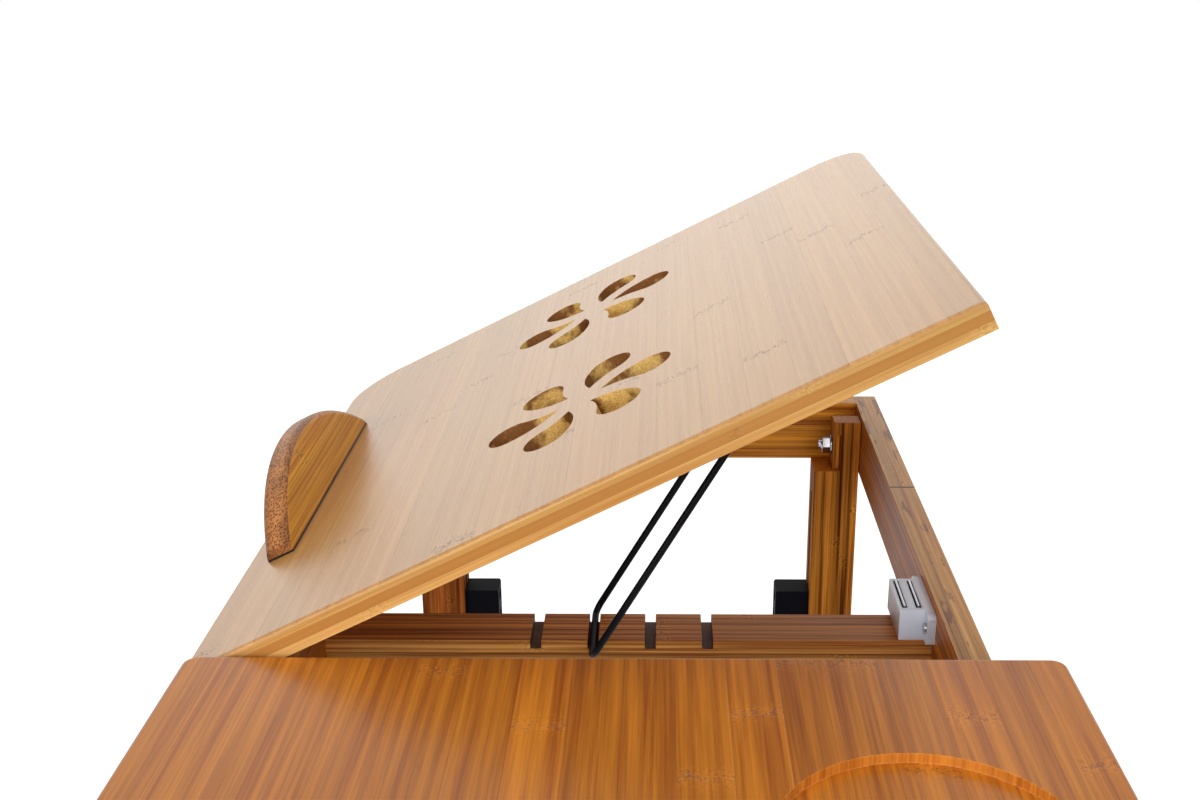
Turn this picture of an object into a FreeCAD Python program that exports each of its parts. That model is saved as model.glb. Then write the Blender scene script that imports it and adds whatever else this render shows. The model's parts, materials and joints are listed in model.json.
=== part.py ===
"""Bamboo laptop stand with a tilting panel, a fixed side panel with a drawer, and fold-in legs.

Units are millimetres. The origin is on the floor, under the middle of the top.
+X runs along the length towards the fixed panel, -Y faces the user, +Z is up.
"""
import FreeCAD
import Part
import math
import os

V = FreeCAD.Vector
SAME = 1e-6
PAST = 1.0

# ---- Driving dimensions: the top ----
TOP_LENGTH = 550.0
TOP_WIDTH = 350.0
TOP_HEIGHT = 215.0
PANEL_THICK = 12.0
FIXED_LENGTH = 182.0
PANEL_GAP = 2.0
TILT_ANGLE = 26.6
TILT_CORNER = 30.0
FIXED_CORNER = 6.0
EDGE_ROUND = 2.0
RECESS_RADIUS = 52.0
RECESS_DEPTH = 4.0
RECESS_FROM_END = 62.5
RECESS_FROM_BACK = 73.3

# ---- Driving dimensions: the petal vents ----
FLOWER_FROM_INNER_END = 115.6
FLOWER_PITCH = 155.0
FLOWER_COUNT = 2
FLOWER_FROM_FRONT = 175.0
FLOWER_TURN = 3.6
PETAL_COUNT = 6
PETAL_START = 11.2
PETAL_REACH = 25.0
PETAL_LEAN = 1.4
PETAL_ROUND = 11.0
PETAL_BELLY = 30.0
PETAL_WAIST = 32.0

# ---- Driving dimensions: the frame ----
RAIL_THICK = 13.5
RAIL_HEIGHT = 37.0
SIDE_OVERHANG = 23.7
END_OVERHANG = 11.0
RAIL_JOINT_FROM_FAR = 151.0
RACK_WIDTH = 26.0
RACK_THICK = 17.0
RACK_FROM_FIXED = 72.0
NOTCH_WIDTH = 4.9
NOTCH_DEPTH = 4.2
NOTCH_PITCH = 26.0
NOTCH_COUNT = 4
FIRST_NOTCH_Y = -42.0
PROP_NOTCH = 1
BATTEN_WIDTH = 18.0
BATTEN_THICK = 7.5
BATTEN_SET_BACK = 6.75

# ---- Driving dimensions: hinges ----
HINGE_OUT = 3.75
HINGE_DOWN = 3.0
HINGE_LENGTH = 50.0
HINGE_KNUCKLES = 5
HINGE_RADIUS = 2.7
HINGE_PIN_RADIUS = 1.0
LEAF_THICK = 1.2
LEAF_REACH = 16.0
HINGE_FROM_ENDS = 62.0
SMALL_SCREW = 1.3
SMALL_HEAD = 2.6
SMALL_HEAD_HEIGHT = 1.0
SMALL_SCREW_IN_PANEL = 6.6
LEAF_SCREW_IN_RAIL = 7.8
LEAF_SCREWS_APART = 30.0
LEAF_FROM_KNUCKLE = 0.8

# ---- Driving dimensions: wire prop ----
WIRE_RADIUS = 1.6
PROP_WIDTH = 46.0
PROP_PIVOT_FROM_FRONT = 259.0
PROP_PIVOT_DROP = 3.2
PROP_BEND = 5.0
PROP_EAR = 14.0
BRACKET_LENGTH = 8.0
BRACKET_SPAN = 22.0
BRACKET_PLATE = 1.4
BRACKET_SCREWS_APART = 14.0
EAR_PAST_BRACKET = 1.5
PROP_OFF_RACK = 2.0

# ---- Driving dimensions: book stop ----
STOP_LENGTH = 172.0
STOP_THICK = 13.5
STOP_HEIGHT = 33.5
STOP_END_HEIGHT = 5.0
STOP_FROM_FRONT = 15.0
STOP_ROUND = 3.8
STOP_SCREW_IN = 12.0
STOP_SCREWS_APART = 86.0
STOP_OFF_MIDDLE = 6.0

# ---- Driving dimensions: magnet catch ----
CATCH_LENGTH = 32.0
CATCH_WIDTH = 11.5
CATCH_HEIGHT = 15.0
CATCH_AHEAD_OF_RACK = -1.6
FLANGE_LENGTH = 43.5
FLANGE_THICK = 3.8
FLANGE_AHEAD = 6.5
POLE_THICK = 1.2
POLE_LENGTH = 26.0
POLE_INSET = 2.0
STRIKE_LENGTH = 36.0
STRIKE_WIDTH = 13.0
STRIKE_THICK = 1.5
STRIKE_SCREWS_APART = 24.0
POLE_DEEP = 11.0
POLE_PROUD = 0.8
POLE_GROOVE = 0.6
POLE_GROOVE_DEEP = 3.0
MAGNET_HEIGHT = 6.0
FLANGE_ROUND = 2.5
FLANGE_SCREW_FROM_END = 3.25
FLANGE_SCREW_FROM_FAR_END = 2.75
CATCH_SCREW_IN_RAIL = 8.0
SLOT_HALF = 1.5

# ---- Driving dimensions: legs ----
LEG_DEPTH = 19.4
LEG_BODY = 11.6
LEG_SLOT = 2.8
LEG_HEAD = 1.7
LEG_NECK = 12.0
LEG_PIVOT_DROP = 32.5
LEG_TOP_ABOVE_PIVOT = 17.5
LEG_PIVOT_TO_END_RAIL = 18.0
LEG_BOTTOM = 42.0
SLOT_TOP_BELOW_TOP = 8.0
SLIDER_TOP_BELOW_PIVOT = 13.5
SLIDER_BODY = 11.0
SLIDER_CHEEK = 2.2
EXTENSION = 70.0
STRETCHER_THICK = 12.0
STRETCHER_HEIGHT = 24.0
STRETCHER_BOTTOM = 14.0
FOOT_THICK = 3.0
FOOT_INSET = 1.5
BOLT_RADIUS = 3.0
BOLT_HEAD_RADIUS = 6.0
BOLT_HEAD_HEIGHT = 3.5
BOLT_HEAD_ROUND = 2.0
NUT_RADIUS = 5.7
NUT_HEIGHT = 5.0
WASHER_RADIUS = 6.2
WASHER_THICK = 1.0
BOLT_END = 2.3
LOCK_OUT = 21.0
LOCK_DEPTH = 18.0
LOCK_TOP = 85.0
LOCK_BOTTOM = 44.0
LOCK_ROUND = 1.5
LOCK_SCREW_RADIUS = 2.2
LOCK_SCREW_HEAD = 4.0
LOCK_SCREW_HEAD_HEIGHT = 2.5
LOCK_SCREW_SHY = 3.0
LOCK_SCREW_SINK = 5.0
LOCK_SCREW_GAP = 0.8
LOCK_SCREW_HEIGHTS = (64.0, 78.0)
BUTTON_HEIGHT = 10.0
BUTTON_DEPTH = 11.0
BUTTON_Z = 51.5
BUTTON_PROUD = 3.0
BUTTON_LENGTH = 9.0
BUTTON_TRAVEL = 3.0
BUTTON_ROUND = 1.2
SPRING_RADIUS = 3.0
SPRING_WIRE = 0.6
COIL_PITCH = 0.96
COIL_COUNT = 2

# ---- Driving dimensions: drawer ----
DRAWER_LENGTH = 120.0
DRAWER_FRONT_THICK = 12.0
DRAWER_SIDE_THICK = 8.0
DRAWER_FLOOR_THICK = 3.0
DRAWER_TOP_GAP = 1.5
RUNNER_THICK = 6.5
RUNNER_LEDGE = 8.0
RUNNER_LEDGE_THICK = 4.0
FINGER_RADIUS = 11.0
FINGER_RAISE = 2.0

# ---- Driving dimensions: frame screws ----
SCREW_RADIUS = 2.0
SCREW_HEAD_RADIUS = 3.8
SCREW_HEAD_DEPTH = 2.2
SCREW_LENGTH = 30.0
SCREW_FROM_EDGE = 9.25
STRETCHER_SCREW_FROM_EDGE = 6.72
DOWEL_RADIUS = 3.0
DOWEL_LENGTH = 30.0

# ---- Clearances ----
LEG_GAP = 0.5
SLIDE_GAP = 0.3
RUN_GAP = 0.3
PIN_GAP = 0.05
SLOT_GAP = 0.1
DRAWER_GAP = 0.4
RUNNER_TO_LEG = 1.3
LEDGE_ABOVE_STRETCHER = 0.7

# ---- Places worked out from the dimensions ----
FAR_END = -TOP_LENGTH / 2
NEAR_END = TOP_LENGTH / 2
FRONT = -TOP_WIDTH / 2
BACK = TOP_WIDTH / 2
FIXED_FAR = NEAR_END - FIXED_LENGTH
TILT_NEAR = FIXED_FAR - PANEL_GAP
UNDERSIDE = TOP_HEIGHT - PANEL_THICK
RAIL_OUT = TOP_WIDTH / 2 - SIDE_OVERHANG
RAIL_IN = RAIL_OUT - RAIL_THICK
RAIL_BOTTOM = UNDERSIDE - RAIL_HEIGHT
FRAME_END = TOP_LENGTH / 2 - END_OVERHANG
END_RAIL_IN = FRAME_END - RAIL_THICK
RACK_NEAR = FIXED_FAR - RACK_FROM_FIXED
RACK_FAR = RACK_NEAR - RACK_WIDTH
RACK_TOP = RAIL_BOTTOM + RACK_THICK
HINGE_Y = -RAIL_OUT - HINGE_OUT
HINGE_Z = UNDERSIDE - HINGE_DOWN
NOTCH_Y = [FIRST_NOTCH_Y + NOTCH_PITCH * i for i in range(NOTCH_COUNT)]
PIVOT_X = END_RAIL_IN - LEG_PIVOT_TO_END_RAIL
PIVOT_Z = TOP_HEIGHT - LEG_PIVOT_DROP
LEG_OUT = RAIL_IN - LEG_GAP
LEG_SHOULDER = LEG_OUT - LEG_BODY
LEG_HEAD_OUT = LEG_SHOULDER - LEG_SLOT
LEG_IN = LEG_HEAD_OUT - LEG_HEAD
SLIDER_OUT = LEG_SHOULDER - SLIDE_GAP
SLIDER_FACE = LEG_IN - SLIDE_GAP
SLIDER_IN = SLIDER_FACE - SLIDER_BODY
SLIDER_HALF = LEG_DEPTH / 2 + SLIDE_GAP + SLIDER_CHEEK
SLIDER_TOP = PIVOT_Z - SLIDER_TOP_BELOW_PIVOT
RUNNER_OUT = SLIDER_IN - RUNNER_TO_LEG
RUNNER_IN = RUNNER_OUT - RUNNER_THICK
DRAWER_HALF = RUNNER_IN - DRAWER_GAP
RUNNER_BOTTOM = PIVOT_Z - SLIDER_HALF + LEDGE_ABOVE_STRETCHER
LEDGE_TOP = RUNNER_BOTTOM + RUNNER_LEDGE_THICK
DRAWER_BOTTOM = LEDGE_TOP + RUN_GAP
DRAWER_FRONT_IN = FRAME_END - DRAWER_FRONT_THICK
DRAWER_FAR = FRAME_END - DRAWER_LENGTH
RUNNER_NEAR = DRAWER_FRONT_IN - RUN_GAP


def block(x0, x1, y0, y1, z0, z1):
    low = V(min(x0, x1), min(y0, y1), min(z0, z1))
    return Part.makeBox(abs(x1 - x0), abs(y1 - y0), abs(z1 - z0), low)


def rod(radius, start, along):
    """A round bar from the point start, with the length and direction of along."""
    return Part.makeCylinder(radius, along.Length, start, along)


def rounded_upright(shape, corners, radius):
    """Round the upright edges that stand at the given (x, y) corners."""
    edges = []
    for edge in shape.Edges:
        a = edge.Vertexes[0].Point
        b = edge.Vertexes[-1].Point
        if abs(a.z - b.z) > 1 and abs(a.x - b.x) + abs(a.y - b.y) < SAME:
            if any(abs(a.x - x) + abs(a.y - y) < SAME for x, y in corners):
                edges.append(edge)
    return shape.makeFillet(radius, edges)


def soften(shape, radius, keep):
    """Round the edges that keep picks."""
    return shape.makeFillet(radius, [edge for edge in shape.Edges if keep(edge)])


def save(name, *shapes):
    solid = shapes[0] if len(shapes) == 1 else Part.makeCompound(list(shapes))
    solid.exportStep("parts/" + name + ".step")


def tilted(shape):
    """Turn a piece drawn with the panel lying flat into the raised panel's pose."""
    turned = shape.copy()
    turned.rotate(V(0, HINGE_Y, HINGE_Z), V(1, 0, 0), TILT_ANGLE)
    return turned


def tilted_point(y, z):
    angle = math.radians(TILT_ANGLE)
    dy = y - HINGE_Y
    dz = z - HINGE_Z
    return (HINGE_Y + dy * math.cos(angle) - dz * math.sin(angle),
            HINGE_Z + dy * math.sin(angle) + dz * math.cos(angle))


def at_height(z):
    """A test for edges that lie level at the height z."""
    return lambda edge: all(abs(p.Point.z - z) < SAME for p in edge.Vertexes)


def on_side_plane(y):
    """A test for edges that lie in either of the planes at the distance y from the middle."""
    return lambda edge: abs(abs(edge.CenterOfMass.y) - y) < SAME


# ---- Top panels ----
def fixed_panel():
    panel = block(FIXED_FAR, NEAR_END, FRONT, BACK, UNDERSIDE, TOP_HEIGHT)
    corners = [(x, y) for x in (FIXED_FAR, NEAR_END) for y in (FRONT, BACK)]
    panel = rounded_upright(panel, corners, FIXED_CORNER)
    panel = soften(panel, EDGE_ROUND, at_height(TOP_HEIGHT))
    centre = V(NEAR_END - RECESS_FROM_END, BACK - RECESS_FROM_BACK, TOP_HEIGHT - RECESS_DEPTH)
    return panel.cut(Part.makeCylinder(RECESS_RADIUS, RECESS_DEPTH + PAST, centre))


def meeting(first, first_distance, second, second_distance):
    """The point at these distances from both points, on the right of the way from first to second."""
    way = second - first
    along = (first_distance ** 2 - second_distance ** 2 + way.Length ** 2) / (2 * way.Length)
    aside = math.sqrt(first_distance ** 2 - along ** 2)
    way.normalize()
    return first + way * along + V(way.y, -way.x, 0) * aside


def on_circle(centre, radius, towards):
    """The point of a circle that lies towards another point."""
    way = towards - centre
    way.normalize()
    return centre + way * radius


def petal():
    """One comma-shaped opening, pointing along +X from the flower's middle and fuller on its +Y side."""
    tip = V(PETAL_START, 0, 0)
    middle = V(PETAL_START + PETAL_REACH, PETAL_LEAN, 0)
    far = middle + V(PETAL_ROUND, 0, 0)
    belly = meeting(tip, PETAL_BELLY, middle, PETAL_BELLY - PETAL_ROUND)
    belly_end = on_circle(belly, PETAL_BELLY, middle)
    belly_middle = on_circle(belly, PETAL_BELLY, (tip + belly_end) * 0.5)
    waist = meeting(tip, PETAL_WAIST, middle, PETAL_WAIST + PETAL_ROUND)
    waist_end = on_circle(waist, PETAL_WAIST, middle)
    waist_middle = on_circle(waist, PETAL_WAIST, (tip + waist_end) * 0.5)
    edges = [Part.Arc(tip, belly_middle, belly_end).toShape(),
             Part.Arc(belly_end, far, waist_end).toShape(),
             Part.Arc(waist_end, waist_middle, tip).toShape()]
    return Part.Face(Part.Wire(edges)).extrude(V(0, 0, PANEL_THICK + 2 * PAST))


def flower(x, y):
    petals = []
    for i in range(PETAL_COUNT):
        opening = petal()
        opening.rotate(V(0, 0, 0), V(0, 0, 1), 90 + FLOWER_TURN + i * 360.0 / PETAL_COUNT)
        opening.translate(V(x, y, UNDERSIDE - PAST))
        petals.append(opening)
    return petals


def tilt_panel():
    panel = block(FAR_END, TILT_NEAR, FRONT, BACK, UNDERSIDE, TOP_HEIGHT)
    panel = rounded_upright(panel, [(FAR_END, FRONT), (FAR_END, BACK)], TILT_CORNER)
    panel = soften(panel, EDGE_ROUND, at_height(TOP_HEIGHT))
    for i in range(FLOWER_COUNT):
        x = TILT_NEAR - FLOWER_FROM_INNER_END - i * FLOWER_PITCH
        panel = panel.cut(flower(x, FRONT + FLOWER_FROM_FRONT))
    return panel


# ---- Frame ----
END_SCREW_X = FRAME_END - RAIL_THICK / 2
FASTENER_Z = (RAIL_BOTTOM + SCREW_FROM_EDGE, UNDERSIDE - SCREW_FROM_EDGE)
SCREW_PLACES = [(x, z) for x in (-END_SCREW_X, END_SCREW_X) for z in FASTENER_Z]
SCREW_PLACES.append((RACK_FAR + RACK_WIDTH / 2, RAIL_BOTTOM + RACK_THICK / 2))


def wood_screw(x, y, z, side):
    """A countersunk screw driven inwards from the outer face of a side rail."""
    head = Part.makeCone(SCREW_HEAD_RADIUS, SCREW_RADIUS, SCREW_HEAD_DEPTH, V(x, y, z), V(0, -side, 0))
    shank = rod(SCREW_RADIUS, V(x, y, z), V(0, -side * SCREW_LENGTH, 0))
    return head.fuse(shank)


def frame_screws():
    return [wood_screw(x, side * RAIL_OUT, z, side) for side in (-1, 1) for x, z in SCREW_PLACES]


def bolt_hole(side, x):
    through = V(0, -side * (RAIL_THICK + 2 * PAST), 0)
    return rod(BOLT_RADIUS, V(x, side * (RAIL_OUT + PAST), PIVOT_Z), through)


def side_rail(x0, x1, side):
    rail = block(x0, x1, side * RAIL_IN, side * RAIL_OUT, RAIL_BOTTOM, UNDERSIDE)
    cutters = frame_screws() + [bolt_hole(side, x) for x in (-PIVOT_X, PIVOT_X)]
    return rail.cut(cutters)


RAIL_JOINT = -FRAME_END + RAIL_JOINT_FROM_FAR


def rail_dowels():
    x = RAIL_JOINT - DOWEL_LENGTH / 2
    y = (RAIL_IN + RAIL_OUT) / 2
    return [rod(DOWEL_RADIUS, V(x, y, z), V(DOWEL_LENGTH, 0, 0)) for z in FASTENER_Z]


def end_rail(x0, x1, y0, y1):
    return block(x0, x1, y0, y1, RAIL_BOTTOM, UNDERSIDE).cut(frame_screws())


def rack_bar():
    bar = block(RACK_FAR, RACK_NEAR, -RAIL_IN, RAIL_IN, RAIL_BOTTOM, RACK_TOP)
    for y in NOTCH_Y:
        bar = bar.cut(block(RACK_FAR - PAST, RACK_NEAR + PAST, y - NOTCH_WIDTH / 2, y + NOTCH_WIDTH / 2,
                            RACK_TOP - NOTCH_DEPTH, RACK_TOP + PAST))
    return bar.cut(frame_screws())


def batten():
    x0 = FIXED_FAR + BATTEN_SET_BACK
    return block(x0, x0 + BATTEN_WIDTH, -RAIL_IN, RAIL_IN, UNDERSIDE - BATTEN_THICK, UNDERSIDE)


def drawer_runner(side):
    web = block(DRAWER_FAR, RUNNER_NEAR, side * RUNNER_IN, side * RUNNER_OUT, RUNNER_BOTTOM, UNDERSIDE)
    ledge = block(DRAWER_FAR, RUNNER_NEAR, side * (RUNNER_IN - RUNNER_LEDGE), side * RUNNER_IN,
                  RUNNER_BOTTOM, LEDGE_TOP)
    return web.fuse(ledge).removeSplitter()


# ---- Magnet catch ----
CATCH_NEAR = RACK_NEAR + CATCH_AHEAD_OF_RACK
CATCH_BACK = RAIL_IN - FLANGE_THICK
CATCH_FRONT = CATCH_BACK - CATCH_WIDTH
CATCH_TOP = RACK_TOP + CATCH_HEIGHT
FLANGE_NEAR = CATCH_NEAR + FLANGE_AHEAD
POLE_Y = [CATCH_FRONT + POLE_INSET + POLE_THICK / 2, CATCH_BACK - POLE_INSET - POLE_THICK / 2]
POLE_FAR = CATCH_NEAR - (CATCH_LENGTH + POLE_LENGTH) / 2
FLANGE_SCREWS = [FLANGE_NEAR - FLANGE_SCREW_FROM_END,
                 FLANGE_NEAR - FLANGE_LENGTH + FLANGE_SCREW_FROM_FAR_END]
CATCH_SCREW_Z = RACK_TOP + CATCH_HEIGHT / 2


def pole_plates():
    return [block(POLE_FAR, POLE_FAR + POLE_LENGTH, y - POLE_THICK / 2, y + POLE_THICK / 2,
                  CATCH_TOP - POLE_DEEP, CATCH_TOP + POLE_PROUD) for y in POLE_Y]


def pole_grooves():
    """The open slots in the catch's top that the pole plates stand in."""
    half = POLE_THICK / 2 + POLE_GROOVE
    return [block(POLE_FAR - POLE_GROOVE, POLE_FAR + POLE_LENGTH + POLE_GROOVE, y - half, y + half,
                  CATCH_TOP - POLE_GROOVE_DEEP, CATCH_TOP + PAST) for y in POLE_Y]


def catch_magnet():
    return block(POLE_FAR, POLE_FAR + POLE_LENGTH, POLE_Y[0] + POLE_THICK / 2, POLE_Y[1] - POLE_THICK / 2,
                 CATCH_TOP - POLE_DEEP, CATCH_TOP - POLE_DEEP + MAGNET_HEIGHT)


def catch_body():
    body = block(CATCH_NEAR - CATCH_LENGTH, CATCH_NEAR, CATCH_FRONT, CATCH_BACK, RACK_TOP, CATCH_TOP)
    flange = block(FLANGE_NEAR - FLANGE_LENGTH, FLANGE_NEAR, CATCH_BACK, RAIL_IN, RACK_TOP, CATCH_TOP)
    ends = [e for e in flange.Edges if abs(e.Length - FLANGE_THICK) < SAME]
    flange = flange.makeFillet(FLANGE_ROUND, ends)
    shell = body.fuse(flange).cut(pole_plates()).cut(pole_grooves()).cut(catch_magnet())
    for x in FLANGE_SCREWS:
        for dz in (-SLOT_HALF, 0.0, SLOT_HALF):
            shell = shell.cut(rod(SMALL_SCREW + SLOT_GAP, V(x, CATCH_BACK - PAST, CATCH_SCREW_Z + dz),
                                  V(0, FLANGE_THICK + 2 * PAST, 0)))
    return shell.cut(catch_screws())


def round_screw(point, along, length):
    """A small round-headed screw: its head sits on the point and its shank runs along."""
    shank = rod(SMALL_SCREW, point, along * length)
    head = rod(SMALL_HEAD, point - along * SMALL_HEAD_HEIGHT, along * SMALL_HEAD_HEIGHT)
    return head.fuse(shank)


def catch_screws():
    return [round_screw(V(x, CATCH_BACK, CATCH_SCREW_Z), V(0, 1, 0), FLANGE_THICK + CATCH_SCREW_IN_RAIL)
            for x in FLANGE_SCREWS]


def strike_plate():
    x = CATCH_NEAR - CATCH_LENGTH / 2
    y = (CATCH_FRONT + CATCH_BACK) / 2
    plate = block(x - STRIKE_LENGTH / 2, x + STRIKE_LENGTH / 2, y - STRIKE_WIDTH / 2,
                  y + STRIKE_WIDTH / 2, UNDERSIDE - STRIKE_THICK, UNDERSIDE)
    return plate.cut(strike_screws())


def strike_screws():
    x = CATCH_NEAR - CATCH_LENGTH / 2
    y = (CATCH_FRONT + CATCH_BACK) / 2
    return [round_screw(V(x + dx, y, UNDERSIDE - STRIKE_THICK), V(0, 0, 1),
                        STRIKE_THICK + SMALL_SCREW_IN_PANEL)
            for dx in (-STRIKE_SCREWS_APART / 2, STRIKE_SCREWS_APART / 2)]


# ---- Butt hinges ----
HINGE_X = [TILT_NEAR - HINGE_FROM_ENDS - HINGE_LENGTH / 2, -FRAME_END + HINGE_FROM_ENDS + HINGE_LENGTH / 2]
KNUCKLE = HINGE_LENGTH / HINGE_KNUCKLES
LEAF_GAP_FROM_AXIS = HINGE_RADIUS + LEAF_FROM_KNUCKLE


def knuckle_spans(x, first):
    start = x - HINGE_LENGTH / 2
    return [(start + KNUCKLE * i + RUN_GAP / 2, start + KNUCKLE * (i + 1) - RUN_GAP / 2)
            for i in range(first, HINGE_KNUCKLES, 2)]


def frame_leaf(x):
    y_in = -RAIL_OUT
    y_out = y_in - LEAF_THICK
    leaf = block(x - HINGE_LENGTH / 2, x + HINGE_LENGTH / 2, y_out, y_in,
                 HINGE_Z - LEAF_GAP_FROM_AXIS - LEAF_REACH, HINGE_Z - LEAF_GAP_FROM_AXIS)
    for a, b in knuckle_spans(x, 1):
        tab = block(a, b, y_out, y_in, HINGE_Z - LEAF_GAP_FROM_AXIS, HINGE_Z)
        leaf = leaf.fuse(tab).fuse(rod(HINGE_RADIUS, V(a, HINGE_Y, HINGE_Z), V(b - a, 0, 0)))
        leaf = leaf.cut(rod(HINGE_PIN_RADIUS + PIN_GAP, V(a - PAST, HINGE_Y, HINGE_Z),
                            V(b - a + 2 * PAST, 0, 0)))
    return leaf.cut(frame_leaf_screws(x))


def frame_leaf_screws(x):
    z = HINGE_Z - LEAF_GAP_FROM_AXIS - LEAF_REACH / 2
    return [round_screw(V(x + dx, -RAIL_OUT - LEAF_THICK, z), V(0, 1, 0), LEAF_THICK + LEAF_SCREW_IN_RAIL)
            for dx in (-LEAF_SCREWS_APART / 2, LEAF_SCREWS_APART / 2)]


def panel_leaf(x):
    y_in = HINGE_Y - LEAF_GAP_FROM_AXIS
    leaf = block(x - HINGE_LENGTH / 2, x + HINGE_LENGTH / 2, y_in - LEAF_REACH, y_in,
                 UNDERSIDE - LEAF_THICK, UNDERSIDE)
    for a, b in knuckle_spans(x, 0):
        tab = block(a, b, y_in, HINGE_Y, UNDERSIDE - LEAF_THICK, UNDERSIDE)
        barrel = rod(HINGE_RADIUS, V(a, HINGE_Y, HINGE_Z), V(b - a, 0, 0))
        leaf = leaf.fuse(tab).fuse(barrel)
        leaf = leaf.cut(rod(HINGE_PIN_RADIUS, V(a - PAST, HINGE_Y, HINGE_Z), V(b - a + 2 * PAST, 0, 0)))
    return leaf.cut(panel_leaf_screws(x))


def panel_leaf_screws(x):
    y = HINGE_Y - LEAF_GAP_FROM_AXIS - LEAF_REACH / 2
    return [round_screw(V(x + dx, y, UNDERSIDE - LEAF_THICK), V(0, 0, 1), LEAF_THICK + SMALL_SCREW_IN_PANEL)
            for dx in (-LEAF_SCREWS_APART / 2, LEAF_SCREWS_APART / 2)]


def hinge_pin(x):
    return rod(HINGE_PIN_RADIUS, V(x - HINGE_LENGTH / 2, HINGE_Y, HINGE_Z), V(HINGE_LENGTH, 0, 0))


# ---- Wire prop and its brackets ----
PROP_X = (RACK_NEAR + RACK_FAR) / 2 + PROP_OFF_RACK
PIVOT_U = FRONT + PROP_PIVOT_FROM_FRONT
PIVOT_W = UNDERSIDE - PROP_PIVOT_DROP
FOOT_Y = NOTCH_Y[PROP_NOTCH]
FOOT_Z = RACK_TOP - NOTCH_DEPTH + WIRE_RADIUS + RUN_GAP


def prop_wire():
    """A U of wire: a cross piece in the notch, two legs, and ears turned out into the brackets."""
    py, pz = tilted_point(PIVOT_U, PIVOT_W)
    length = math.hypot(py - FOOT_Y, pz - FOOT_Z)
    half = PROP_WIDTH / 2
    ear = half + PROP_EAR
    points = [V(-ear, 0, 0), V(-half, 0, 0), V(-half, -length, 0),
              V(half, -length, 0), V(half, 0, 0), V(ear, 0, 0)]
    edges = []
    last = points[0]
    for before, corner, after in zip(points, points[1:], points[2:]):
        back = (before - corner).normalize()
        ahead = (after - corner).normalize()
        a = corner + back * PROP_BEND
        b = corner + ahead * PROP_BEND
        middle = corner + (back + ahead) * (PROP_BEND * (1 - math.sqrt(0.5)))
        edges.append(Part.makeLine(last, a))
        edges.append(Part.Arc(a, middle, b).toShape())
        last = b
    edges.append(Part.makeLine(last, points[-1]))
    path = Part.Wire(edges)
    circle = Part.Wire([Part.makeCircle(WIRE_RADIUS, points[0], V(1, 0, 0))])
    wire = path.makePipeShell([circle], True, False)
    wire.rotate(V(0, 0, 0), V(1, 0, 0), math.degrees(math.atan2(pz - FOOT_Z, py - FOOT_Y)))
    wire.translate(V(PROP_X, py, pz))
    return wire


BRACKET_OFF = PROP_WIDTH / 2 + PROP_EAR - EAR_PAST_BRACKET - BRACKET_LENGTH / 2
BRACKET_X = [PROP_X - BRACKET_OFF, PROP_X + BRACKET_OFF]
BRACKET_HUMP = WIRE_RADIUS + BRACKET_PLATE


def bracket_screws():
    return [round_screw(V(x, PIVOT_U + dy, UNDERSIDE - BRACKET_PLATE), V(0, 0, 1),
                        BRACKET_PLATE + SMALL_SCREW_IN_PANEL)
            for x in BRACKET_X for dy in (-BRACKET_SCREWS_APART / 2, BRACKET_SCREWS_APART / 2)]


def prop_bracket(x):
    x0 = x - BRACKET_LENGTH / 2
    x1 = x + BRACKET_LENGTH / 2
    plate = block(x0, x1, PIVOT_U - BRACKET_SPAN / 2, PIVOT_U + BRACKET_SPAN / 2,
                  UNDERSIDE - BRACKET_PLATE, UNDERSIDE)
    cheeks = block(x0, x1, PIVOT_U - BRACKET_HUMP, PIVOT_U + BRACKET_HUMP, PIVOT_W, UNDERSIDE)
    hump = rod(BRACKET_HUMP, V(x0, PIVOT_U, PIVOT_W), V(BRACKET_LENGTH, 0, 0))
    bore = rod(WIRE_RADIUS + PIN_GAP, V(x0 - PAST, PIVOT_U, PIVOT_W), V(BRACKET_LENGTH + 2 * PAST, 0, 0))
    return plate.fuse(cheeks).fuse(hump).cut(bore).cut(bracket_screws())


# ---- Book stop ----
STOP_MIDDLE = (FAR_END + TILT_NEAR) / 2 + STOP_OFF_MIDDLE
STOP_Y = FRONT + STOP_FROM_FRONT


def book_stop():
    half = STOP_LENGTH / 2
    y1 = STOP_Y + STOP_THICK
    corners = [V(STOP_MIDDLE + s * half, y1, TOP_HEIGHT) for s in (-1, 1)]
    ends = [V(p.x, y1, TOP_HEIGHT + STOP_END_HEIGHT) for p in corners]
    crown = V(STOP_MIDDLE, y1, TOP_HEIGHT + STOP_HEIGHT)
    edges = [Part.makeLine(corners[0], corners[1]), Part.makeLine(corners[1], ends[1]),
             Part.Arc(ends[1], crown, ends[0]).toShape(), Part.makeLine(ends[0], corners[0])]
    stop = Part.Face(Part.Wire(edges)).extrude(V(0, -STOP_THICK, 0))
    curved = [e for e in stop.Edges if e.Curve.TypeId == "Part::GeomCircle"]
    return stop.makeFillet(STOP_ROUND, curved).cut(stop_screws())


def stop_screws():
    y = STOP_Y + STOP_THICK / 2
    screws = []
    for dx in (-STOP_SCREWS_APART / 2, STOP_SCREWS_APART / 2):
        point = V(STOP_MIDDLE + dx, y, UNDERSIDE)
        head = Part.makeCone(SCREW_HEAD_RADIUS, SCREW_RADIUS, SCREW_HEAD_DEPTH, point, V(0, 0, 1))
        screws.append(head.fuse(rod(SCREW_RADIUS, point, V(0, 0, PANEL_THICK + STOP_SCREW_IN))))
    return screws


# ---- Legs, drawn for the near end; end = -1 mirrors them to the far end ----
def leg_x(end, inward):
    """The x of a point that lies inward of the leg's middle plane by the given distance."""
    return end * (PIVOT_X - inward)


def leg_block(end, side, in0, in1, y0, y1, z0, z1):
    return block(leg_x(end, in0), leg_x(end, in1), side * y0, side * y1, z0, z1)


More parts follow.
